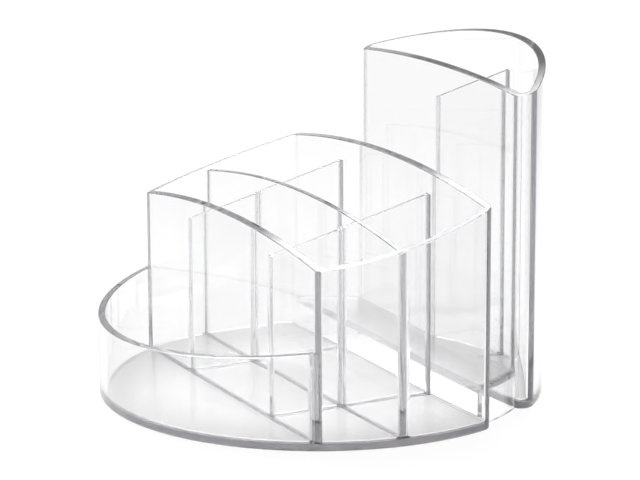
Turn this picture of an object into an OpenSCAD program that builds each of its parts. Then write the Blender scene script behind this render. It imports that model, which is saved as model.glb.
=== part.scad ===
// Round desk organizer in clear moulded plastic: a low crescent tray in front, a box of six
// compartments in the middle, an open slot behind it and a tall two-part pen tower at the back.
// +X is to the right, +Y to the back, +Z up. The origin is the centre of the round footprint,
// on the surface that the organizer stands on.

/* [Overall] */
// Outside diameter of the round footprint
outer_d = 140; // [136:1:150]
// Thickness of the outer walls
wall_t = 2.3; // [2:0.1:2.5]
// Thickness of the floors
floor_t = 2.5; // [2:0.1:3]

/* [Front tray] */
// Height of the tray rim where it meets the middle box
tray_rim_z = 30; // [24:0.5:36]
// Rise of the tray rim towards the back, in degrees
tray_slope = 7; // [0:0.5:10]

/* [Middle box] */
// Outer face of the front wall, measured from the centre
mid_front_y = -32.5; // [-36:0.5:-28]
// Outer face of the back wall, measured from the centre
mid_back_y = 24.8; // [22:0.2:26]
// Height of the middle of the front wall
mid_rim_z = 59.6; // [54:0.2:66]
// Rise of the rim towards the back, in degrees
mid_slope = 14.6; // [8:0.2:18]
// Radius of the arch of the rim, seen from the front
mid_arch_r = 394; // [300:2:600]
// Outer radius of the two front corners
mid_front_corner_r = 2.6; // [2.6:0.1:4]
// Outer radius of the two back corners
mid_back_corner_r = 3.7; // [2.8:0.1:5]

/* [Dividers] */
// Centre of the long divider, which runs from side to side
long_divider_y = -7; // [-12:0.5:0]
// Distance of the cross dividers from the centre
cross_divider_x = 29.2; // [20:0.2:36]
// Thickness of a divider at the floor
divider_base_t = 2; // [1.6:0.1:2.4]
// Thickness of a divider at its top edge
divider_top_t = 1.2; // [1:0.1:1.5]
// How far the long divider stays below the rim
long_divider_drop = 1.5; // [0.5:0.1:6]
// How far the cross dividers stay below the rim
cross_divider_drop = 6.6; // [3:0.2:12]

/* [Pen tower] */
// Outer face of the tower's front wall, measured from the centre
tower_front_y = 41.2; // [38:0.2:44]
// Height of the middle of the tower's front wall
tower_rim_z = 100.7; // [90:0.1:110]
// Rise of the tower's rim towards the back, in degrees
tower_slope = 15.2; // [8:0.2:18]
// Radius of the arch of the tower's rim, seen from the front
tower_arch_r = 516; // [400:2:700]
// Outer radius of the tower's two corners
tower_corner_r = 4.1; // [3:0.1:5]
// How far the tower's divider stays below the rim
tower_divider_drop = 11.2; // [5:0.2:20]

/* [Slot] */
// Height of the slot's floor
slot_floor_z = 12.7; // [10:0.1:16]
// Thickness of the slot's floor and of its end walls
slot_t = 2.2; // [1.8:0.1:2.6]
// How far the slot's ends stand in from the round outline
slot_inset = 4.9; // [2:0.1:5.5]

/* [Hidden] */
outer_r = outer_d / 2;
inner_r = outer_r - wall_t;
slot_r = outer_r - slot_inset;
// Taller than anything in the model, and wider than the footprint
reach = 2 * outer_d;
arch_fn = 360;
round_fn = 180;
corner_fn = 48;
// A round wall laps a fillet by this much, and a fillet's faces stay this far inside the walls
// that it joins, so that no two faces graze each other
lap = 0.2;
skin = 0.01;
// How far short of a fillet's end the tray wall stops
feather = 1.2;
clear_tint = [0.90, 0.92, 0.95, 0.45];
edge_tint = [0.72, 0.75, 0.80, 0.60];

// ---- Corners: a flat wall meets the round outline through a fillet ----

// A corner is [x of the fillet's centre, y of the fillet's centre, fillet radius, side].
// side is 1 where the flat wall looks to the front and -1 where it looks to the back.
function corner(wall_y, r, side) =
  [sqrt(pow(outer_r - r, 2) - pow(wall_y + side * r, 2)), wall_y + side * r, r, side];
function corner_x(c) = c[0];
function corner_y(c) = c[1];
function corner_r(c) = c[2];
function corner_side(c) = c[3];
// Angle at which the fillet runs into the round outline
function round_angle(c) = atan2(corner_y(c), corner_x(c));
// The same, a hair past the joint, so that a round wall laps the fillet
function lap_angle(c) = round_angle(c) - corner_side(c) * atan(lap / outer_r);

mid_front_corner = corner(mid_front_y, mid_front_corner_r, 1);
mid_back_corner = corner(mid_back_y, mid_back_corner_r, -1);
tower_corner = corner(tower_front_y, tower_corner_r, 1);

// Upright curved panel of radius r to its outer face, between two angles about its own centre
module curved_panel(r, t, a0, a1, h, fn = round_fn) {
  rotate([0, 0, a0])
    rotate_extrude(angle = a1 - a0, $fn = fn)
      translate([r - t, 0])
        square([t, h]);
}

// Panel round the fillet of a right-hand corner, from the flat wall to the round wall
module corner_panel(c, h) {
  flat_angle = -90 * corner_side(c);
  a0 = min(flat_angle, round_angle(c));
  a1 = max(flat_angle, round_angle(c));
  translate([corner_x(c), corner_y(c), 0])
    curved_panel(corner_r(c) - skin, wall_t - 2 * skin, a0, a1, h, corner_fn);
}

// Round wall on the outline, from one corner's fillet to another's
module round_panel(c0, a1, h) {
  curved_panel(outer_r, wall_t, lap_angle(c0), a1, h);
}

module both_sides() {
  children();
  mirror([1, 0, 0])
    children();
}

// Block with the round outline on one side of a flat wall and a fillet at each corner
module outline_block(c, h) {
  wall_y = corner_y(c) - corner_side(c) * corner_r(c);
  edge = outer_r * [cos(lap_angle(c)), sin(lap_angle(c))];
  far = corner_side(c) * reach;
  union() {
    intersection() {
      cylinder(r = outer_r, h = h, $fn = round_fn);
      linear_extrude(2 * h, center = true)
        polygon([
          [-reach, edge[1]], [-edge[0], edge[1]], [-corner_x(c), corner_y(c)],
          [corner_x(c), corner_y(c)], edge, [reach, edge[1]], [reach, far], [-reach, far]
        ]);
    }
    translate([-corner_x(c), min(wall_y, corner_y(c) + corner_side(c) * corner_r(c)), 0])
      cube([2 * corner_x(c), 2 * corner_r(c), h]);
    both_sides()
      translate([corner_x(c), corner_y(c), 0])
        cylinder(r = corner_r(c) - skin, h = h, $fn = corner_fn);
  }
}

// ---- Rims: each is cut by a large cylinder that rises to the back and arches from side to side ----

// Everything below an arched rim that passes through height rim_z above the line y = rim_y
module below_rim(rim_y, rim_z, slope, arch_r, drop = 0) {
  translate([0, rim_y, rim_z - drop])
    rotate([slope, 0, 0])
      translate([0, 0, -arch_r])
        rotate([90, 0, 0])
          cylinder(r = arch_r, h = 2 * reach, center = true, $fn = arch_fn);
}

module below_mid_rim(drop = 0) {
  below_rim(mid_front_y, mid_rim_z, mid_slope, mid_arch_r, drop);
}

module below_tower_rim(drop = 0) {
  below_rim(tower_front_y, tower_rim_z, tower_slope, tower_arch_r, drop);
}

// Everything below the tray's rim, which is flat from side to side
module below_tray_rim() {
  translate([0, mid_front_y, tray_rim_z])
    rotate([tray_slope, 0, 0])
      translate([-reach, -reach, -reach])
        cube([2 * reach, 2 * reach, reach]);
}

// ---- Floors ----

module main_floor() {
  color(edge_tint)
    outline_block(mid_back_corner, floor_t);
}

module tower_floor() {
  color(edge_tint)
    outline_block(tower_corner, floor_t);
}

// ---- Front tray ----

// The wall thins out round the front corners of the middle box, and ends just short of a knife edge
module tray_wall() {
  end_angle = round_angle(mid_front_corner) - atan(feather / outer_r);
  color(clear_tint)
    difference() {
      intersection() {
        translate([0, 0, floor_t])
          curved_panel(outer_r, wall_t, -180 - end_angle, end_angle, reach);
        below_tray_rim();
      }
      outline_block(mid_front_corner, reach);
    }
}

// ---- Middle box ----

// Flat wall across the box between the two corners; y is its lower face in Y
module mid_flat_wall(y, half_width) {
  intersection() {
    translate([-half_width, y, floor_t])
      cube([2 * half_width, wall_t, reach]);
    below_mid_rim();
  }
}

module mid_front_wall() {
  color(clear_tint)
    mid_flat_wall(mid_front_y, corner_x(mid_front_corner));
}

module mid_back_wall() {
  color(clear_tint)
    mid_flat_wall(mid_back_y - wall_t, corner_x(mid_back_corner));
}

// Right-hand side of the box: the round wall with a rounded corner at each end
module side_wall() {
  intersection() {
    translate([0, 0, floor_t])
      union() {
        corner_panel(mid_front_corner, reach);
        round_panel(mid_front_corner, lap_angle(mid_back_corner), reach);
        corner_panel(mid_back_corner, reach);
      }
    below_mid_rim();
  }
}

module mid_right_wall() {
  color(clear_tint)
    side_wall();
}

module mid_left_wall() {
  color(clear_tint)
    mirror([1, 0, 0])
      side_wall();
}

// ---- Dividers: each tapers from its foot to its top edge ----

// Tapered upright blade along X, centred on the X axis and standing on the floor
module blade(length, h) {
  base = divider_base_t / 2;
  top = divider_top_t / 2;
  translate([0, 0, floor_t])
    rotate([90, 0, 90])
      linear_extrude(length, center = true)
        polygon([[-base, 0], [base, 0], [top, h], [-top, h]]);
}

// The long divider before its ends and its top are cut
module long_blade() {
  translate([0, long_divider_y, 0])
    blade(reach, mid_rim_z + outer_r * tan(mid_slope));
}

module long_divider() {
  color(clear_tint)
    intersection() {
      long_blade();
      cylinder(r = inner_r, h = reach, $fn = round_fn);
      below_mid_rim(long_divider_drop);
    }
}

// Cross divider at side * cross_divider_x, between two Y values, cut to the long divider's face
module cross_divider(side, y0, y1) {
  color(clear_tint)
    difference() {
      intersection() {
        translate([side * cross_divider_x, 0, 0])
          rotate([0, 0, 90])
            blade(reach, mid_rim_z + outer_r * tan(mid_slope));
        translate([-reach, y0, 0])
          cube([2 * reach, y1 - y0, reach]);
        below_mid_rim(cross_divider_drop);
      }
      long_blade();
    }
}

module cross_divider_front_left() {
  cross_divider(-1, mid_front_y + wall_t, long_divider_y);
}

module cross_divider_front_right() {
  cross_divider(1, mid_front_y + wall_t, long_divider_y);
}

module cross_divider_rear_left() {
  cross_divider(-1, long_divider_y, mid_back_y - wall_t);
}

module cross_divider_rear_right() {
  cross_divider(1, long_divider_y, mid_back_y - wall_t);
}

// ---- Slot between the box and the tower: a raised floor on two end walls, hollow underneath ----

// Part of a disc or ring that lies between the back of the box and the front of the tower
module between_box_and_tower() {
  difference() {
    intersection() {
      children();
      translate([-reach, mid_back_y, -reach])
        cube([2 * reach, tower_front_y + tower_corner_r - mid_back_y, 2 * reach]);
    }
    translate([0, 0, -reach])
      outline_block(tower_corner, 2 * reach);
  }
}

module slot_floor() {
  color(edge_tint)
    between_box_and_tower()
      translate([0, 0, slot_floor_z - slot_t])
        cylinder(r = slot_r, h = slot_t, $fn = round_fn);
}

module slot_end() {
  between_box_and_tower()
    curved_panel(slot_r, slot_t, 0, 90, slot_floor_z - slot_t);
}

module slot_right_end() {
  color(clear_tint)
    slot_end();
}

module slot_left_end() {
  color(clear_tint)
    mirror([1, 0, 0])
      slot_end();
}

// ---- Pen tower ----

module tower_front_wall() {
  half_width = corner_x(tower_corner);
  color(clear_tint)
    intersection() {
      translate([-half_width, tower_front_y, floor_t])
        cube([2 * half_width, wall_t, reach]);
      below_tower_rim();
    }
}

module tower_outer_wall() {
  color(clear_tint)
    intersection() {
      translate([0, 0, floor_t])
        union() {
          both_sides()
            corner_panel(tower_corner, reach);
          round_panel(tower_corner, 180 - lap_angle(tower_corner), reach);
        }
      below_tower_rim();
    }
}

module tower_divider() {
  color(clear_tint)
    intersection() {
      rotate([0, 0, 90])
        blade(reach, tower_rim_z + outer_r * tan(tower_slope));
      translate([-reach, tower_front_y + wall_t, 0])
        cube([2 * reach, reach, reach]);
      cylinder(r = inner_r, h = reach, $fn = round_fn);
      below_tower_rim(tower_divider_drop);
    }
}

main_floor();
tray_wall();
mid_front_wall();
mid_back_wall();
mid_left_wall();
mid_right_wall();
long_divider();
cross_divider_front_left();
cross_divider_front_right();
cross_divider_rear_left();
cross_divider_rear_right();
slot_floor();
slot_left_end();
slot_right_end();
tower_floor();
tower_front_wall();
tower_outer_wall();
tower_divider();
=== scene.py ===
import math

import bmesh
import bpy
from mathutils import Matrix, Vector


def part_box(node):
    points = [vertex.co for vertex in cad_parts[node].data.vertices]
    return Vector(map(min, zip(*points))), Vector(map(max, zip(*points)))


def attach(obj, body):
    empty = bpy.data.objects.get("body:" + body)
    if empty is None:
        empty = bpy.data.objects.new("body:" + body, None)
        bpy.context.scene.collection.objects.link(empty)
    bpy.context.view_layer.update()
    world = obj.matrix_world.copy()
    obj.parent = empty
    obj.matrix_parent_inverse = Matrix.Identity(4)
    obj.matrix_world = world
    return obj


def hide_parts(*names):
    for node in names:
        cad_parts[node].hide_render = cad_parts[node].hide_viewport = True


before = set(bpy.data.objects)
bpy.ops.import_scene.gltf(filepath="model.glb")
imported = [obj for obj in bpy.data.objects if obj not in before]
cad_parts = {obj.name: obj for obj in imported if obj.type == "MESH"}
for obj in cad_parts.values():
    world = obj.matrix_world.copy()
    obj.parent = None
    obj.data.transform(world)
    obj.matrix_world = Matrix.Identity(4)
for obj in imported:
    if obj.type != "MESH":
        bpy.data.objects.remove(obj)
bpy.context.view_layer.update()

# ---- Sizes, in metres. Places and thicknesses come from the frame's boxes ----

MM = 0.001
X, Y, Z = 0, 1, 2

MID_ARCH_R = 394 * MM
MID_FRONT_CORNER_R = 2.6 * MM
MID_BACK_CORNER_R = 3.7 * MM
TOWER_ARCH_R = 516 * MM
TOWER_CORNER_R = 4.1 * MM
TRAY_RISE = math.tan(math.radians(7))
DIVIDER_BASE_T = 2 * MM
DIVIDER_TOP_T = 1.2 * MM
# Moulded edges: top rims, the plates' lower edges, the slot's outer edge and the feet of the walls
RIM_EDGE_R = 0.3 * MM
PLATE_EDGE_R = 1.0 * MM
SLOT_EDGE_R = 1.0 * MM
FOOT_R = 0.7 * MM
# Fillet where a divider's end meets a wall
JOINT_R = 1.0 * MM
# Fillet where the tray's inner face meets the middle box
TRAY_JOINT_R = 0.95 * MM
# Neighbours sink into each other by this much, so that light passes from one to the next
SINK = 0.03 * MM
# How far short of its knife edge the tray wall stops at a corner
FEATHER = 0.35 * MM
ROUND_STEP = math.radians(1.5)
CORNER_STEPS = 12
EDGE_STEPS = 6
ARCH_STEPS = 40
SHARP_ANGLE = math.radians(35)
# Points nearer to each other than this are one point
MERGE_GAP = 0.001 * MM
# Most of a wall's thickness that one side of its rounded rim may take
RIM_SHARE = 0.45
# Most of a corner's inner radius that the foot fillet may take
FOOT_SHARE = 0.9


def low(node, axis):
    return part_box(node)[0][axis]


def high(node, axis):
    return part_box(node)[1][axis]


OUTER_R = high("mid_right_wall", X)
FLOOR_T = high("main_floor", Z)
WALL_BOTTOM = FLOOR_T - SINK
MID_FRONT_Y = low("mid_front_wall", Y)
MID_BACK_Y = high("mid_back_wall", Y)
WALL_T = high("mid_front_wall", Y) - MID_FRONT_Y
INNER_R = OUTER_R - WALL_T
TOWER_FRONT_Y = low("tower_front_wall", Y)
LONG_Y = (low("long_divider", Y) + high("long_divider", Y)) / 2
CROSS_X = (low("cross_divider_rear_right", X) + high("cross_divider_rear_right", X)) / 2
SLOT_TOP = high("slot_floor", Z)
SLOT_BOTTOM = low("slot_floor", Z)
SLOT_T = SLOT_TOP - SLOT_BOTTOM
SLOT_R = math.hypot(high("slot_floor", X), low("slot_floor", Y))

# ---- Rims: heights over the plan ----


def arched_rim(front, back, arch_r):
    """Height of a rim that rises through two points (y, z) of its middle and arches from side to side."""
    rise = (back[1] - front[1]) / (back[0] - front[0])
    slant = math.hypot(1, rise)

    def height(x, y):
        sag = arch_r - math.sqrt(arch_r * arch_r - x * x)
        return front[1] + (y - front[0]) * rise - sag * slant

    return height


def lowered(rim, drop):
    return lambda x, y: rim(x, y) - drop


mid_rim = arched_rim(
    (MID_FRONT_Y + WALL_T, high("mid_front_wall", Z)),
    (MID_BACK_Y, high("mid_back_wall", Z)),
    MID_ARCH_R,
)
tower_rim = arched_rim(
    (TOWER_FRONT_Y + WALL_T, high("tower_front_wall", Z)),
    (high("tower_outer_wall", Y), high("tower_outer_wall", Z)),
    TOWER_ARCH_R,
)


high_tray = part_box("tray_wall")[1]


def tray_rim(x, y):
    return high_tray[Z] + (y - high_tray[Y]) * TRAY_RISE


divider_half = DIVIDER_TOP_T / 2
long_rim = lowered(
    mid_rim, mid_rim(0, LONG_Y + divider_half) - high("long_divider", Z)
)
cross_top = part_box("cross_divider_rear_right")[1]
cross_rim = lowered(mid_rim, mid_rim(CROSS_X - divider_half, cross_top[Y]) - cross_top[Z])
tower_divider_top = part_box("tower_divider")[1]
tower_divider_rim = lowered(
    tower_rim, tower_rim(0, tower_divider_top[Y]) - tower_divider_top[Z]
)

# ---- Corners: a flat wall meets the round outline through a fillet ----


class Corner:
    """Right-hand corner; side is 1 where the flat wall looks to the front and -1 to the back."""

    def __init__(self, wall_y, radius, side):
        y = wall_y + side * radius
        x = math.sqrt((OUTER_R - radius) ** 2 - y * y)
        self.centre = Vector((x, y))
        self.radius = radius
        self.side = side
        self.round_angle = math.atan2(y, x)


mid_front_corner = Corner(MID_FRONT_Y, MID_FRONT_CORNER_R, 1)
mid_back_corner = Corner(MID_BACK_Y, MID_BACK_CORNER_R, -1)
tower_corner = Corner(TOWER_FRONT_Y, TOWER_CORNER_R, 1)


def spread(first, last, steps):
    """Evenly spaced values from first to last."""
    return [first + (last - first) * i / steps for i in range(steps + 1)]


def round_steps(first, last):
    return max(2, round(abs(last - first) / ROUND_STEP))


def polar(centre, radius, angle):
    return Vector((centre[0] + radius * math.cos(angle), centre[1] + radius * math.sin(angle)))


def mirrored(point):
    return Vector((-point[0], *point[1:]))


# ---- Meshes ----


def piece(name, bm, material):
    """Closes a bmesh off as the shown piece that stands for the CAD node of the same name."""
    bmesh.ops.remove_doubles(bm, verts=bm.verts, dist=MERGE_GAP)
    bmesh.ops.recalc_face_normals(bm, faces=bm.faces)
    mesh = bpy.data.meshes.new(name)
    bm.to_mesh(mesh)
    bm.free()
    mesh.polygons.foreach_set("use_smooth", [True] * len(mesh.polygons))
    mesh.set_sharp_from_angle(angle=SHARP_ANGLE)
    mesh.materials.append(material)
    obj = bpy.data.objects.new(name + "_moulded", mesh)
    bpy.context.scene.collection.objects.link(obj)
    normals = obj.modifiers.new("even normals", "WEIGHTED_NORMAL")
    normals.keep_sharp = True
    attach(obj, "root")
    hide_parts(name)


def stitch(bm, rings):
    """Faces between neighbouring rings of points."""
    count = len(rings[0])
    for a, b in zip(rings, rings[1:]):
        for i in range(count):
            j = (i + 1) % count
            bm.faces.new((a[i], a[j], b[j], b[i]))


def add_sweep(bm, sections):
    """Skin along a row of sections, each a pair of equal rows of points, up the outer and inner side."""
    rings = []
    for outer, inner in sections:
        rings.append([bm.verts.new(p) for p in outer + inner[::-1]])
    stitch(bm, rings)
    count = len(rings[0])
    for ring in (rings[0], rings[-1]):
        for i in range(count // 2 - 1):
            bm.faces.new((ring[i], ring[i + 1], ring[count - 2 - i], ring[count - 1 - i]))


def wall_side(place, width, rim, foot, inner):
    """Points up one side of a wall: a foot fillet, the face and half of the rounded top."""
    top = rim(*place(0, WALL_BOTTOM))
    edge = min(RIM_EDGE_R, RIM_SHARE * width(top))
    turns = spread(0, math.pi / 2, EDGE_STEPS)
    points = []

    def across(offset, z):
        return place(width(z) - offset if inner else offset, z)

    points.append((*across(-foot, WALL_BOTTOM), WALL_BOTTOM))
    for a in turns:
        z = FLOOR_T + foot * (1 - math.cos(a))
        points.append((*across(-foot * (1 - math.sin(a)), z), z))
    for a in turns:
        plan = across(edge * (1 - math.cos(a)), top)
        points.append((*plan, rim(*plan) - edge * (1 - math.sin(a))))
    return points


def wall_section(place, width, rim, feet):
    """place(s, z) gives the plan point at s across the wall from its outer face."""
    return (
        wall_side(place, width, rim, feet[0], False),
        wall_side(place, width, rim, feet[1], True),
    )


def even(thickness):
    return lambda z: thickness


def drafted(rim, wall_y):
    """Thickness of a divider at height z, thinner towards its top."""
    height = rim(0, wall_y + OUTER_R)
    return lambda z: DIVIDER_BASE_T - (DIVIDER_BASE_T - DIVIDER_TOP_T) * (z - FLOOR_T) / height


def straight_stations(flare):
    """Rows (t, shift, swell): t is how far along the wall, whose ends may flare into its neighbours."""
    turns = spread(0, math.pi / 2, EDGE_STEPS)
    ends = [(flare * (1 - math.cos(a)), flare * (1 - math.sin(a))) for a in turns]
    row = [(0, 0, flare)]
    if flare:
        row += [(0, shift + SINK, swell) for shift, swell in ends]
    row += [(t, 0, 0) for t in spread(0, 1, ARCH_STEPS)[1:-1]]
    if flare:
        row += [(1, -shift - SINK, swell) for shift, swell in reversed(ends)]
    return row + [(1, 0, flare)]


def straight_wall(
    name, along, centre, start, end, width, rim, material, feet=(FOOT_R, FOOT_R), flare=0.0
):
    """Upright wall along X or Y. start and end give where it ends, from the place across it and z."""
    bm = bmesh.new()
    sections = []
    for t, shift, swell in straight_stations(flare):

        def wide(z, swell=swell):
            return width(z) + 2 * swell

        def place(s, z, t=t, shift=shift, wide=wide):
            across = centre + s - wide(z) / 2
            reach = start(across, z) * (1 - t) + end(across, z) * t + shift
            return (reach, across) if along == X else (across, reach)

        sections.append(wall_section(place, wide, rim, feet))
    add_sweep(bm, sections)
    piece(name, bm, material)


def fixed(value):
    return lambda across, z: value


def to_round_wall(side):
    """Where the round walls' inner faces stand, sunk a little."""
    return lambda across, z: side * math.sqrt((INNER_R + SINK) ** 2 - across * across)


# ---- Round walls: rows of stations (centre, outer radius, angle, thickness) ----


def arc_stations(centre, radius, first, last, steps):
    return [(centre, radius, a, WALL_T) for a in spread(first, last, steps)]


def corner_stations(corner):
    """Stations round a right-hand corner, from its flat wall to the round wall."""
    flat_angle = -corner.side * math.pi / 2
    return arc_stations(
        corner.centre, corner.radius, flat_angle, corner.round_angle, CORNER_STEPS
    )


def mirrored_stations(stations):
    return [(mirrored(c), r, math.pi - a, t) for c, r, a, t in stations]


def round_wall(name, stations, rim, material):
    """Upright wall through a row of stations, with a foot fillet on its inner side."""
    bm = bmesh.new()
    sections = []
    for centre, radius, angle, thickness in stations:

        def place(s, z, centre=centre, radius=radius, angle=angle):
            return tuple(polar(centre, radius - s, angle))

        inner_foot = min(FOOT_R, FOOT_SHARE * (radius - thickness))
        sections.append(wall_section(place, even(thickness), rim, (0, inner_foot)))
    add_sweep(bm, sections)
    piece(name, bm, material)


# ---- Plates: rows of outline stations (point, inward direction, lower edge radius, upper one) ----

LOWER_EDGE, UPPER_EDGE = 2, 3


def edge_ring(bm, outline, turn, edge, level, rise):
    """Ring of points at one turn of a plate's rounded edge; rise is 1 above the level, -1 below it."""
    ring = []
    for station in outline:
        point, inward = station[:2]
        radius = station[edge]
        plan = point + inward * (radius * (1 - math.cos(turn)))
        ring.append(bm.verts.new((*plan, level + rise * radius * (1 - math.sin(turn)))))
    return ring


def plate(name, outline, bottom, top, material):
    """Flat plate over an outline, with the edges rounded as its stations say."""
    bm = bmesh.new()
    turns = spread(0, math.pi / 2, EDGE_STEPS)
    rings = [edge_ring(bm, outline, a, LOWER_EDGE, bottom, 1) for a in reversed(turns)]
    rings += [edge_ring(bm, outline, a, UPPER_EDGE, top, -1) for a in turns]
    stitch(bm, rings)
    bm.faces.new(rings[0])
    bm.faces.new(rings[-1])
    piece(name, bm, material)


def outline_arc(centre, radius, first, last, steps, lower, upper):
    """Outline stations along an arc that has the plate on its inner side."""
    row = []
    for a in spread(first, last, steps):
        inward = -Vector((math.cos(a), math.sin(a)))
        row.append((polar(centre, radius, a), inward, lower, upper))
    return row


def mirrored_outline(row):
    return [(mirrored(p), mirrored(d), lower, upper) for p, d, lower, upper in reversed(row)]


def floor_outline(corner):
    """Outline of a floor from the middle of its flat edge round to the middle again."""
    flat_angle = -corner.side * math.pi / 2
    half = outline_arc(
        corner.centre, corner.radius, flat_angle, corner.round_angle, CORNER_STEPS, PLATE_EDGE_R, 0
    )
    far = corner.side * math.pi / 2
    steps = round_steps(corner.round_angle, far)
    half += outline_arc(
        Vector((0, 0)), OUTER_R, corner.round_angle, far, steps, PLATE_EDGE_R, 0
    )[1:]
    return half + mirrored_outline(half)[1:]


# ---- Shader nodes ----


def ramp(nodes, link, source, start, end, low_value=0.0, high_value=1.0):
    """Smooth step of a value, from low_value at start to high_value at end."""
    node = nodes.new("ShaderNodeMapRange")
    node.interpolation_type = "SMOOTHSTEP"
    node.inputs["From Min"].default_value = start
    node.inputs["From Max"].default_value = end
    node.inputs["To Min"].default_value = low_value
    node.inputs["To Max"].default_value = high_value
    link(source, node.inputs["Value"])
    return node.outputs["Result"]


def combined(nodes, link, operation, first, second=None):
    """One or two values through a Math node."""
    node = nodes.new("ShaderNodeMath")
    node.operation = operation
    link(first, node.inputs[0])
    if second is not None:
        link(second, node.inputs[1])
    return node.outputs["Value"]


def shifted(nodes, link, source, amount):
    """A value with a fixed amount added."""
    node = nodes.new("ShaderNodeMath")
    node.operation = "ADD"
    node.inputs[1].default_value = amount
    link(source, node.inputs[0])
    return node.outputs["Value"]


def along_direction(nodes, link, source, direction):
    """How far a vector reaches along a direction."""
    node = nodes.new("ShaderNodeVectorMath")
    node.operation = "DOT_PRODUCT"
    node.inputs[1].default_value = direction
    link(source, node.inputs[0])
    return node.outputs["Value"]


# ---- Materials ----

PLASTIC_IOR = 1.59
# In a metre of plastic, light fades at the density times what the tint lacks of white
DEPTH_TINT = (0.920, 0.918, 0.925, 1)
DEPTH_DENSITY = 100
# Roughness of the haziest spots, and how strong and deep the flow ripples are
HAZE = 0.02
RIPPLE_STRENGTH = 0.02
RIPPLE_DEPTH = 0.2 * MM
# Extra roughness of the floors' upward faces
FLOOR_SATIN = 0.22
# Upward part of the normal from which a face starts to be satin, and where it is fully so
SATIN_FACING = (0.9, 0.98)


def clear_plastic(name, grain, ripple, satin_top=0.0):
    """Clear polished polystyrene with faint flow ripples, a trace of haze and a cool tint in depth.

    grain and ripple are the scales of the haze and of the ripples, and satin_top is the extra
    roughness of faces that look up.
    """
    mat = bpy.data.materials.new(name)
    mat.use_nodes = True
    nodes = mat.node_tree.nodes
    link = mat.node_tree.links.new
    shader = nodes["Principled BSDF"]
    shader.inputs["Base Color"].default_value = (1, 1, 1, 1)
    shader.inputs["Transmission Weight"].default_value = 1
    shader.inputs["IOR"].default_value = PLASTIC_IOR
    where = nodes.new("ShaderNodeTexCoord")
    haze = nodes.new("ShaderNodeTexNoise")
    haze.inputs["Scale"].default_value = grain
    link(where.outputs["Object"], haze.inputs["Vector"])
    spread_haze = nodes.new("ShaderNodeMapRange")
    spread_haze.inputs["To Min"].default_value = 0.0
    spread_haze.inputs["To Max"].default_value = HAZE
    link(haze.outputs["Fac"], spread_haze.inputs["Value"])
    roughness = spread_haze.outputs["Result"]
    if satin_top:
        facing = nodes.new("ShaderNodeSeparateXYZ")
        link(nodes.new("ShaderNodeNewGeometry").outputs["Normal"], facing.inputs["Vector"])
        satin = ramp(nodes, link, facing.outputs["Z"], *SATIN_FACING, 0.0, satin_top)
        roughness = combined(nodes, link, "ADD", roughness, satin)
    link(roughness, shader.inputs["Roughness"])
    flow = nodes.new("ShaderNodeTexNoise")
    flow.inputs["Scale"].default_value = ripple
    link(where.outputs["Object"], flow.inputs["Vector"])
    bump = nodes.new("ShaderNodeBump")
    bump.inputs["Strength"].default_value = RIPPLE_STRENGTH
    bump.inputs["Distance"].default_value = RIPPLE_DEPTH
    link(flow.outputs["Fac"], bump.inputs["Height"])
    link(bump.outputs["Normal"], shader.inputs["Normal"])
    depth = nodes.new("ShaderNodeVolumeAbsorption")
    depth.inputs["Color"].default_value = DEPTH_TINT
    depth.inputs["Density"].default_value = DEPTH_DENSITY
    link(depth.outputs["Volume"], nodes["Material Output"].inputs["Volume"])
    return mat


wall_plastic = clear_plastic("clear_wall", grain=60, ripple=25)
floor_plastic = clear_plastic("clear_floor", grain=45, ripple=20, satin_top=FLOOR_SATIN)
divider_plastic = clear_plastic("clear_divider", grain=80, ripple=35)

# ---- Floors ----

plate(
    "main_floor", floor_outline(mid_back_corner), 0, FLOOR_T, floor_plastic
)
plate(
    "tower_floor", floor_outline(tower_corner), 0, FLOOR_T, floor_plastic
)

# ---- Front tray ----

tray_joint_y = MID_FRONT_Y - TRAY_JOINT_R
tray_joint = Vector((math.sqrt((INNER_R - TRAY_JOINT_R) ** 2 - tray_joint_y**2), tray_joint_y))
tray_joint_start = math.atan2(tray_joint.y, tray_joint.x)
tray_joint_end = math.atan2(MID_FRONT_Y, tray_joint.x)


def reach_of_circle(direction, centre, radius):
    """Distance along a direction, from the origin to the far side of a circle."""
    along = centre.dot(direction)
    return along + math.sqrt(radius**2 - centre.length_squared + along * along)


def tray_inner_radius(angle):
    """Inner face on the right: the round wall, a fillet, the box's front and its rounded corner."""
    direction = Vector((math.cos(angle), math.sin(angle)))
    if angle <= tray_joint_start:
        return INNER_R
    if angle <= tray_joint_end:
        return reach_of_circle(direction, tray_joint, TRAY_JOINT_R)
    flat = MID_FRONT_Y / direction.y
    if flat * direction.x <= mid_front_corner.centre.x:
        return flat - SINK
    return reach_of_circle(direction, mid_front_corner.centre, mid_front_corner.radius) - SINK


def tray_stations():
    """From the middle of the tray's front round to the right-hand corner, with the same on the left."""
    front = -math.pi / 2
    last = mid_front_corner.round_angle - FEATHER / OUTER_R
    angles = spread(front, tray_joint_start, round_steps(front, tray_joint_start))
    angles += spread(tray_joint_start, tray_joint_end, CORNER_STEPS)[1:]
    angles += spread(tray_joint_end, last, CORNER_STEPS)[1:]
    right = [(Vector((0, 0)), OUTER_R, a, OUTER_R - tray_inner_radius(a)) for a in angles]
    return mirrored_stations(right)[:0:-1] + right


round_wall("tray_wall", tray_stations(), tray_rim, wall_plastic)

# ---- Middle box ----


def mid_side_stations():
    row = corner_stations(mid_front_corner)
    first = mid_front_corner.round_angle
    last = mid_back_corner.round_angle
    row += arc_stations(Vector((0, 0)), OUTER_R, first, last, round_steps(first, last))[1:]
    return row + corner_stations(mid_back_corner)[-2::-1]


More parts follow.
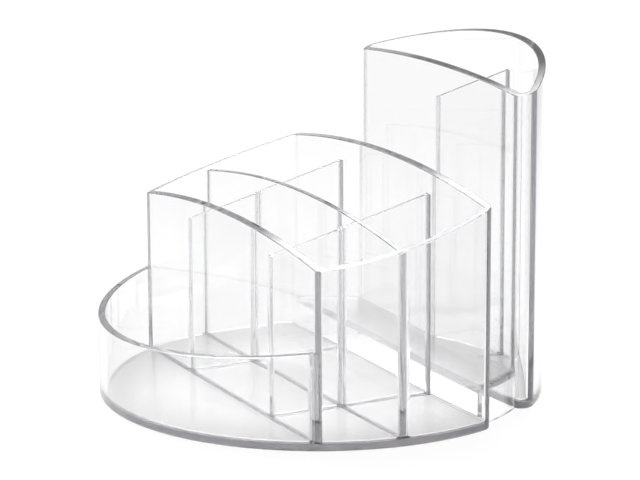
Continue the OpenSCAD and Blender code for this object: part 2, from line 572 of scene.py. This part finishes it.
front_reach = mid_front_corner.centre.x + SINK
back_reach = mid_back_corner.centre.x + SINK
straight_wall(
    "mid_front_wall", X, MID_FRONT_Y + WALL_T / 2, fixed(-front_reach), fixed(front_reach),
    even(WALL_T), mid_rim, wall_plastic,
)
straight_wall(
    "mid_back_wall", X, MID_BACK_Y - WALL_T / 2, fixed(-back_reach), fixed(back_reach),
    even(WALL_T), mid_rim, wall_plastic, feet=(FOOT_R, 0),
)
round_wall(
    "mid_right_wall", mid_side_stations(), mid_rim, wall_plastic
)
round_wall(
    "mid_left_wall", mirrored_stations(mid_side_stations()), mid_rim, wall_plastic
)

# ---- Dividers ----

mid_draft = drafted(mid_rim, MID_FRONT_Y)
tower_draft = drafted(tower_rim, TOWER_FRONT_Y)


def long_face(side):
    """Where the long divider's face stands at height z, sunk a little."""
    return lambda across, z: LONG_Y + side * (mid_draft(z) / 2 - SINK)


straight_wall(
    "long_divider", X, LONG_Y, to_round_wall(-1), to_round_wall(1), mid_draft, long_rim,
    divider_plastic, flare=JOINT_R,
)
front_face = fixed(MID_FRONT_Y + WALL_T - SINK)
back_face = fixed(MID_BACK_Y - WALL_T + SINK)
for word, side in (("left", -1), ("right", 1)):
    straight_wall(
        "cross_divider_front_" + word, Y, side * CROSS_X, front_face, long_face(-1), mid_draft,
        cross_rim, divider_plastic, flare=JOINT_R,
    )
    straight_wall(
        "cross_divider_rear_" + word, Y, side * CROSS_X, long_face(1), back_face, mid_draft,
        cross_rim, divider_plastic, flare=JOINT_R,
    )

# ---- Pen tower ----


def tower_stations():
    right = corner_stations(tower_corner)
    first = tower_corner.round_angle
    last = math.pi - first
    back = arc_stations(Vector((0, 0)), OUTER_R, first, last, round_steps(first, last))
    return right + back[1:-1] + mirrored_stations(right)[::-1]


tower_reach = tower_corner.centre.x + SINK
straight_wall(
    "tower_front_wall", X, TOWER_FRONT_Y + WALL_T / 2, fixed(-tower_reach), fixed(tower_reach),
    even(WALL_T), tower_rim, wall_plastic, feet=(0, FOOT_R),
)
round_wall(
    "tower_outer_wall", tower_stations(), tower_rim, wall_plastic
)
straight_wall(
    "tower_divider", Y, 0, fixed(TOWER_FRONT_Y + WALL_T - SINK), to_round_wall(1), tower_draft,
    tower_divider_rim, divider_plastic, flare=JOINT_R,
)

# ---- Slot ----

# Points of the tower's corner this near to the tip, in edge radii, are left out of the outline
TIP_CLEARANCE = 1.2


def slot_meets_tower(radius):
    """Angle at which a circle about the origin meets the tower's right-hand corner."""
    centre = tower_corner.centre
    reach = tower_corner.radius - SINK
    cosine = (radius**2 + centre.length_squared - reach**2) / (2 * radius * centre.length)
    return tower_corner.round_angle - math.acos(cosine)


def slot_outline():
    """From the middle of the slot's front edge round its right-hand end, and mirrored back."""
    first = math.asin((MID_BACK_Y - SINK) / SLOT_R)
    last = slot_meets_tower(SLOT_R)
    end = outline_arc(Vector((0, 0)), SLOT_R, first, last, CORNER_STEPS, 0, SLOT_EDGE_R)
    meet = end[-1][0] - tower_corner.centre
    meet_angle = math.atan2(meet.y, meet.x)
    reach = tower_corner.radius - SINK
    # At its two tips the rounded edge runs along the neighbours' faces
    front_tip = end[0][0]
    end[0] = (front_tip, Vector((-1 / math.cos(first), 0)), 0, SLOT_EDGE_R)
    tangent = Vector((-meet.y, meet.x)).normalized()
    outward = end[-1][0].normalized()
    end[-1] = (end[-1][0], -tangent / tangent.dot(outward), 0, SLOT_EDGE_R)
    turns = spread(meet_angle, -math.pi / 2, CORNER_STEPS)
    corner = [polar(tower_corner.centre, reach, a) for a in turns]
    inner_tip = Vector((front_tip.x - 2 * SLOT_EDGE_R, front_tip.y))
    still = Vector((0, 0))
    row = [(inner_tip, still, 0, 0)] + end
    near = TIP_CLEARANCE * SLOT_EDGE_R
    skip = 1 + sum(1 for p in corner[1:] if (p - end[-1][0]).length < near)
    row += [(p, still, 0, 0) for p in corner[skip:]]
    return row + mirrored_outline(row)


plate(
    "slot_floor", slot_outline(), SLOT_BOTTOM, SLOT_TOP, floor_plastic
)


def slot_end(name, side):
    """Low curved wall under one end of the slot's floor, sunk into its neighbours."""
    bm = bmesh.new()
    sections = []
    top = SLOT_BOTTOM + SINK
    for t in spread(0, 1, CORNER_STEPS):
        rows = []
        for radius in (SLOT_R, SLOT_R - SLOT_T):
            first = math.asin((MID_BACK_Y - SINK) / radius)
            last = slot_meets_tower(radius)
            p = polar((0, 0), radius, first + (last - first) * t)
            rows.append([(side * p.x, p.y, 0), (side * p.x, p.y, top)])
        sections.append(rows)
    add_sweep(bm, sections)
    piece(name, bm, wall_plastic)


slot_end("slot_right_end", 1)
slot_end("slot_left_end", -1)

# ---- Camera ----

CAMERA_AZIMUTH = math.radians(63.1)
CAMERA_PITCH = math.radians(13.11)
CAMERA_ROLL = math.radians(-0.21)
CAMERA_DISTANCE = 0.9129
CAMERA_AIM_Z = 0.0479
CAMERA_LENS = 163.4
CAMERA_SENSOR = 36
CAMERA_NEAR = 0.01


def make_camera():
    data = bpy.data.cameras.new("camera")
    data.lens = CAMERA_LENS
    data.sensor_width = CAMERA_SENSOR
    data.clip_start = CAMERA_NEAR
    cam = bpy.data.objects.new("camera", data)
    bpy.context.scene.collection.objects.link(cam)
    level = math.cos(CAMERA_PITCH)
    back = Vector((
        math.sin(CAMERA_AZIMUTH) * level, -math.cos(CAMERA_AZIMUTH) * level, math.sin(CAMERA_PITCH)
    ))
    right = Vector((math.cos(CAMERA_AZIMUTH), math.sin(CAMERA_AZIMUTH), 0))
    turned = Matrix((right, back.cross(right), back)).transposed().to_4x4()
    aim = Vector((0, 0, CAMERA_AIM_Z))
    roll = Matrix.Rotation(CAMERA_ROLL, 4, "Z")
    cam.matrix_world = Matrix.Translation(aim + back * CAMERA_DISTANCE) @ turned @ roll
    bpy.context.scene.camera = cam


make_camera()

# ---- Studio: a pale glowing floor with painted light on it, a grey surround, a white backdrop and one high soft light ----

# Where the soft light stands, how wide its even core and its whole glow are, and how bright
LIGHT_AZIMUTH = math.radians(165)
LIGHT_ELEVATION = math.radians(56)
LIGHT_CORE = math.radians(18)
LIGHT_SPREAD = math.radians(27)
LIGHT_LEVEL = 7.0
SURROUND_LEVEL = 0.55
# A white backdrop behind the object: half its width and its upper edge, each with a soft border
BACKDROP_LEVEL = 1.05
BACKDROP_SIDE = (math.radians(7), math.radians(10))
BACKDROP_TOP = (math.radians(17.5), math.radians(20.5))
# The floor: half its width, how far it lies below the object, and its matt surface
FLOOR_HALF = 8.0
FLOOR_GAP = 0.1 * MM
FLOOR_SHADE = 0.1
FLOOR_ROUGHNESS = 0.9
# Glow of the floor: painted light along a strip that fans out behind the object, and the glow beside the
# strip
STRIP_PAINTED_LIGHT = 0.93
BESIDE_GLOW = 0.66
# Painted light right under the object, out to these radii: extra glow of the floor that fills the
# object's shadow
UNDER_PAINTED_LIGHT = 0.6
UNDER_RADII = (0.04, 0.068)
# The strip of painted light: how far in front of the object it fans out from, where along it the painted
# light comes up, and how far to each side it goes for its length
STRIP_FOOT = 0.89
STRIP_NEAR = (0.5, 0.76)
STRIP_SLOPE = (math.tan(math.radians(7.2)), math.tan(math.radians(16)))
# Clear plastic passes light through many walls and mirrors it inside them
LIGHT_BOUNCES = 96

# Level directions: the one that the studio is set up along, and the one across it
sight = Vector((-math.sin(CAMERA_AZIMUTH), math.cos(CAMERA_AZIMUTH), 0))
cross_sight = Vector((sight.y, -sight.x, 0))


def painted_light_strip(nodes, link):
    """1 on the floor's strip of painted light, 0 well beside it."""
    where = nodes.new("ShaderNodeTexCoord").outputs["Object"]
    away = shifted(nodes, link, along_direction(nodes, link, where, sight), STRIP_FOOT)
    aside = combined(nodes, link, "ABSOLUTE", along_direction(nodes, link, where, cross_sight))
    slope = combined(nodes, link, "DIVIDE", aside, away)
    inside = ramp(nodes, link, slope, STRIP_SLOPE[0], STRIP_SLOPE[1], 1.0, 0.0)
    beyond = ramp(nodes, link, away, *STRIP_NEAR)
    return combined(nodes, link, "MULTIPLY", inside, beyond)


def floor_material():
    """Matt pale surface that glows: painted light along the strip, an even glow beside it, and painted
    light under the object that fills its shadow.
    """
    mat = bpy.data.materials.new("studio_floor")
    mat.use_nodes = True
    nodes = mat.node_tree.nodes
    link = mat.node_tree.links.new
    shader = nodes["Principled BSDF"]
    shader.inputs["Base Color"].default_value = (FLOOR_SHADE, FLOOR_SHADE, FLOOR_SHADE, 1)
    shader.inputs["Roughness"].default_value = FLOOR_ROUGHNESS
    shader.inputs["Specular IOR Level"].default_value = 0.0
    shader.inputs["Emission Color"].default_value = (1, 1, 1, 1)
    # Painted light: the floor glows brighter along the strip than beside it
    around = ramp(nodes, link, painted_light_strip(nodes, link), 0, 1, BESIDE_GLOW, STRIP_PAINTED_LIGHT)
    centre = nodes.new("ShaderNodeVectorMath")
    centre.operation = "LENGTH"
    link(nodes.new("ShaderNodeTexCoord").outputs["Object"], centre.inputs[0])
    # Painted light: extra glow under the object, filling its shadow
    under = ramp(nodes, link, centre.outputs["Value"], *UNDER_RADII, UNDER_PAINTED_LIGHT, 0.0)
    link(combined(nodes, link, "ADD", around, under), shader.inputs["Emission Strength"])
    mat.cycles.emission_sampling = "NONE"
    return mat


def make_floor():
    half = FLOOR_HALF
    mesh = bpy.data.meshes.new("studio_floor")
    mesh.from_pydata(
        [(-half, -half, 0), (half, -half, 0), (half, half, 0), (-half, half, 0)], [], [(0, 1, 2, 3)]
    )
    obj = bpy.data.objects.new("studio_floor", mesh)
    obj.location.z = -FLOOR_GAP
    bpy.context.scene.collection.objects.link(obj)
    mesh.materials.append(floor_material())


def make_world():
    """Grey all round, with a white backdrop low behind the object and a broad soft light high up."""
    world = bpy.data.worlds.new("studio")
    bpy.context.scene.world = world
    world.use_nodes = True
    world.cycles.sampling_method = "NONE"
    nodes = world.node_tree.nodes
    link = world.node_tree.links.new
    level = math.cos(LIGHT_ELEVATION)
    direction = (
        math.cos(LIGHT_AZIMUTH) * level, math.sin(LIGHT_AZIMUTH) * level, math.sin(LIGHT_ELEVATION)
    )
    where = nodes.new("ShaderNodeTexCoord").outputs["Generated"]
    toward = along_direction(nodes, link, where, direction)
    glow = ramp(
        nodes, link, toward, math.cos(LIGHT_SPREAD), math.cos(LIGHT_CORE), SURROUND_LEVEL, LIGHT_LEVEL
    )
    ahead = along_direction(nodes, link, where, sight)
    aside = combined(nodes, link, "ABSOLUTE", along_direction(nodes, link, where, cross_sight))
    turn = combined(nodes, link, "ARCTAN2", aside, ahead)
    within = ramp(nodes, link, turn, *BACKDROP_SIDE, 1.0, 0.0)
    height = along_direction(nodes, link, where, (0, 0, 1))
    below = ramp(nodes, link, height, *[math.sin(a) for a in BACKDROP_TOP], 1.0, 0.0)
    panel = combined(nodes, link, "MULTIPLY", within, below)
    backdrop = ramp(nodes, link, panel, 0, 1, SURROUND_LEVEL, BACKDROP_LEVEL)
    shade = nodes["Background"]
    shade.inputs["Color"].default_value = (1, 1, 1, 1)
    link(combined(nodes, link, "MAXIMUM", glow, backdrop), shade.inputs["Strength"])


make_floor()
make_world()

scene = bpy.context.scene
scene.view_settings.view_transform = "Standard"
scene.cycles.max_bounces = LIGHT_BOUNCES
scene.cycles.transmission_bounces = LIGHT_BOUNCES
scene.cycles.glossy_bounces = LIGHT_BOUNCES
scene.cycles.diffuse_bounces = 1
